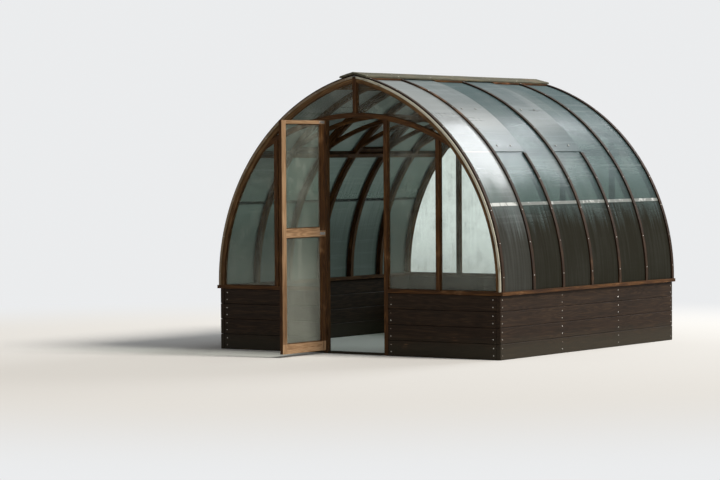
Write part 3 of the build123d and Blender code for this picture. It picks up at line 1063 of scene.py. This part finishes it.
def capScrews():
    shape = bmesh.new()
    top = house["battenOut"] + ridge["bed"] + ridge["thick"] - capFixings["sunk"]
    for side in (1, -1):
        out = (side * math.cos(capAngle), 0, math.sin(capAngle))
        for arch in range(house["bays"] + 1):
            for along in capFixings["places"]:
                y = arch * house["bay"] + capFixings["sway"] * math.sin(arch * 2.7 + along * 90)
                screw(shape, facing(onCap(side, top, along, y), out, arch * 1.1), *capFixings["head"])
    addScrews("cap_screws", shape)


slopeScrews()
trimScrews()
ventFixings()
boardScrews()
capScrews()
print("fixings placed")


# Glazing beads: square beads hold each pane, mitred at the corners

beads = {
    "wide": 0.007,
    "deep": 0.009,
    "pane": 0.0022,  # from the pane's middle to the bead
    # shares of the width and of the depth; the free corner is planed off
    "profile": ((0.0003, 0.0), (0.0003, 1.0), (0.45, 1.0), (1.0, 0.45), (1.0, 0.0)),
    "least": 0.002,  # between two points of an outline
}


def inset(outline, distance):
    # a closed outline, counterclockwise, moved inward
    moved = []
    for n, here in enumerate(outline):
        before, after = outline[n - 1], outline[(n + 1) % len(outline)]
        one = (here - before).normalized()
        two = (after - here).normalized()
        normal = Vector((-one.y - two.y, one.x + two.x)).normalized()
        share = max(0.3, normal.dot(Vector((-one.y, one.x))))
        moved.append(here + normal * distance / share)
    return moved


def arc(centreX, centreZ, radius, start, end, count):
    points = []
    for n in range(count + 1):
        angle = start + (end - start) * n / count
        points.append(Vector((centreX + radius * math.cos(angle), centreZ + radius * math.sin(angle))))
    return points


def tieArc(radius, start, end, count):
    # along the collar tie, from one distance from the middle to another
    angles = math.acos(start / radius), math.acos(end / radius)
    return arc(0.0, house["tieCentre"], radius, *angles, count)


def meeting(ribRadius, tieRadius):
    # where the arc of the rib crosses the arc of the tie, right of the middle
    x0, z0, x1, z1 = -house["offset"], house["spring"], 0.0, house["tieCentre"]
    dx, dz = x1 - x0, z1 - z0
    apart = math.hypot(dx, dz)
    along = (apart**2 + ribRadius**2 - tieRadius**2) / (2 * apart)
    out = math.sqrt(ribRadius**2 - along**2)
    return Vector((x0 + (along * dx - out * dz) / apart, z0 + (along * dz + out * dx) / apart))


def spaced(points):
    # leaves out every point that lies close to the one before it
    kept = [points[0]]
    for point in points[1:]:
        if (point - kept[-1]).length > beads["least"]:
            kept.append(point)
    if (kept[0] - kept[-1]).length <= beads["least"]:
        kept.pop()
    return kept


def gableOutlines(isBack):
    # the panes of one gable: three on the right, the same on the left and, at the back, one in the middle
    tieTop, tieUnder = house["tieRadius"], house["tieRadius"] - house["tieDeep"]
    ribIn = house["radius"] - house["rib"]
    bottom, king = house["plateTop"], house["kingHalf"]
    doorway, inner = house["doorPost"]
    outer, beyond = house["outerPost"]

    def rib(start, end, count):
        return arc(-house["offset"], house["spring"], ribIn, start, end, count)

    beside = [Vector((inner, bottom)), Vector((outer, bottom))] + tieArc(tieUnder, outer, inner, 10)
    corner = meeting(ribIn, tieUnder)
    last = [Vector((beyond, bottom))] + rib(angleUp(bottom, ribIn), angleUp(corner.y, ribIn), 24)
    last += tieArc(tieUnder, corner.x, beyond, 8)
    corner = meeting(ribIn, tieTop)
    above = tieArc(tieTop, king, corner.x, 20) + rib(angleUp(corner.y, ribIn), angleAt(king, ribIn), 20)
    outlines = [beside, last, above]
    outlines += [[Vector((-p.x, p.y)) for p in reversed(outline)] for outline in outlines]
    if isBack:
        sill = [Vector((-doorway, bottom)), Vector((doorway, bottom))]
        outlines.append(sill + tieArc(tieUnder, doorway, -doorway, 12))
    return [spaced(outline) for outline in outlines]


def doorOutlines():
    left, right = door["low"] + door["stile"], door["high"] - door["stile"]
    lower = door["bottom"] + door["bottomRail"], door["middle"]
    upper = door["middle"] + door["middleRail"] + door["ledge"], door["top"] - door["topRail"]
    outlines = []
    for low, high in (lower, upper):
        corners = (left, low), (right, low), (right, high), (left, high)
        outlines.append([Vector(corner) for corner in corners])
    return outlines


def paneBeads(name, body, material, outlines, place):
    # place turns a point of an outline and a depth into a point of the house
    shape = bmesh.new()
    for outline in outlines:
        for way in (-1, 1):
            rings = []
            for wide, deep in beads["profile"]:
                depth = way * (beads["pane"] + deep * beads["deep"])
                rings.append([place(point, depth) for point in inset(outline, wide * beads["wide"])])
            skin(shape, rings, closed=True)
    addPiece(name, shape, body, material)


paneBeads("front_beads", "house", "crossTimber", gableOutlines(False),
          lambda point, depth: Vector((point.x, depth, point.y)))
paneBeads("back_beads", "house", "crossTimber", gableOutlines(True),
          lambda point, depth: Vector((point.x, length + depth, point.y)))
paneBeads("door_beads", "door", "stileTimber", doorOutlines(),
          lambda point, depth: Vector((door["x"] + depth, point.x, point.y)))
print("panes beaded")


# Flat steel plates hold the rails to the hinge stile, and screws hold the hinges

plates = {
    "long": 0.076,
    "tall": 0.022,
    "thick": 0.0016,
    "past": 0.055,  # over the stile
    "edge": 0.0005,
    "screws": 4,
    "head": (0.0036, 0.0009),
}
hinges = {
    "head": (0.0034, 0.0008),
    "heights": (0.200, 1.872),
    "rises": (-0.030, 0.0, 0.030),
    "inward": 0.024,  # from the end of the leaf
    "thick": 0.003,
}


def doorPlates(shape, heads):
    face = door["x"] + door["half"]
    end = door["high"] - door["stile"] + plates["past"]
    for height in (door["top"] - door["topRail"] / 2, door["middle"] + door["middleRail"] / 2):
        low = Vector((face, end - plates["long"], height - plates["tall"] / 2))
        high = Vector((face + plates["thick"], end, height + plates["tall"] / 2))
        board(shape, low, high, 1, plates["edge"])
        for n in range(plates["screws"]):
            point = Vector((high.x, low.y + plates["long"] * (n + 0.5) / plates["screws"], height))
            screw(heads, facing(point, (1, 0, 0), n * 0.8), *plates["head"])


def hingeScrews(heads):
    x, y = door["x"] - door["half"] - hinges["thick"], door["high"] - hinges["inward"]
    for height in hinges["heights"]:
        for rise in hinges["rises"]:
            screw(heads, facing((x, y, height + rise), (-1, 0, 0)), *hinges["head"])


shape, heads = bmesh.new(), bmesh.new()
doorPlates(shape, heads)
hingeScrews(heads)
addPiece("door_plates", shape, "door", "zincSteel")
addScrews("door_screws", heads, "door")
print("door fitted")


# Floor, lights and camera

studio = {
    "floor": (0.80, 0.79, 0.77),
    "shade": (0.70, 0.69, 0.67),
    "background": (0.83, 0.84, 0.85),
    "fades": (4.4, 9.5),  # distances between which the floor turns into the background
    "radii": (0.01, 4.0, 9.0, 30.0, 90.0),
    "sides": 48,
    "drop": 0.0005,
    "ambient": 0.20,
}
lamps = {
    "key_light": {
        "kind": "SUN", "from": (15.2, 2.1, 12.9), "to": (0.0, 0.0, 0.0),
        "set": dict(color=(1.0, 0.95, 0.88), energy=3.3, angle=0.30),
    },
    "sky_panel": {
        "kind": "AREA", "from": (3.6, 13.6, 8.3), "to": (1.2, 1.5, 1.9),
        "set": dict(color=(0.92, 0.96, 1.0), energy=1050.0, shape="RECTANGLE", size=8.0, size_y=5.5),
    },
}
# Angles in degrees, distances in metres and the lens in millimetres
view = {
    "azimuth": 34.6,
    "elevation": -1.7,
    "roll": -0.35,
    "distance": 24.0,
    "target": (0.050, -0.0225, 0.999),
    "lens": 137.85,
    "reach": 200.0,
}


def floorPaint():
    paint = Paint("floorPaint")
    far = paint.step((paint.x * paint.x + paint.y * paint.y) ** 0.5, *studio["fades"])
    grainy = paint.noise(paint.place, 3.0, 0.6, 3.0)
    matt = paint.matt(paint.blend(grainy * 0.06, studio["floor"], studio["shade"]))
    glow = paint.node("ShaderNodeEmission", None, {"Color": studio["background"], "Strength": 1.0})
    return paint.finish(paint.mixed(far * paint.backdropRays(), matt, glow))


def layFloor():
    shape = bmesh.new()
    sides, middle = studio["sides"], Matrix.Translation((0, length / 2, 0))
    rings = []
    for radius in studio["radii"]:
        rings.append([onCircle(middle, radius, -studio["drop"], n / sides) for n in range(sides)])
    skin(shape, rings, lid=False)
    studioFloor = meshOf("studio_floor", shape, floorPaint())


def paintWorld():
    scene.world = bpy.data.worlds.new("studio")
    sky = Wiring(scene.world)
    white = {"Color": (1.0, 1.0, 1.0), "Strength": studio["ambient"]}
    soft = sky.node("ShaderNodeBackground", None, white)
    pale = sky.node("ShaderNodeBackground", None, {"Color": studio["background"]})
    backdrop = sky.mixed(sky.backdropRays(), soft, pale)
    sky.node("ShaderNodeOutputWorld", None, {"Surface": backdrop})


def hangLamp(name, lamp):
    data = bpy.data.lights.new(name, lamp["kind"])
    for key, value in lamp["set"].items():
        setattr(data, key, value)
    made = bpy.data.objects.new(name, data)
    made.matrix_world = facing(lamp["from"], Vector(lamp["from"]) - Vector(lamp["to"]))
    made.visible_camera = False
    scene.collection.objects.link(made)


def aimCamera():
    place = Matrix.Translation(view["target"])
    for angle, axis in ((view["azimuth"], "Z"), (90.0 + view["elevation"], "X"), (view["roll"], "Z")):
        place = place @ Matrix.Rotation(math.radians(angle), 4, axis)
    data = bpy.data.cameras.new("camera")
    data.lens = view["lens"]
    data.clip_end = view["reach"]
    camera = bpy.data.objects.new("camera", data)
    camera.matrix_world = place @ Matrix.Translation((0, 0, view["distance"]))
    scene.collection.objects.link(camera)
    scene.camera = camera


layFloor()
paintWorld()
for name, lamp in lamps.items():
    hangLamp(name, lamp)
aimCamera()
scene.view_settings.view_transform = "Standard"
print("studio set")
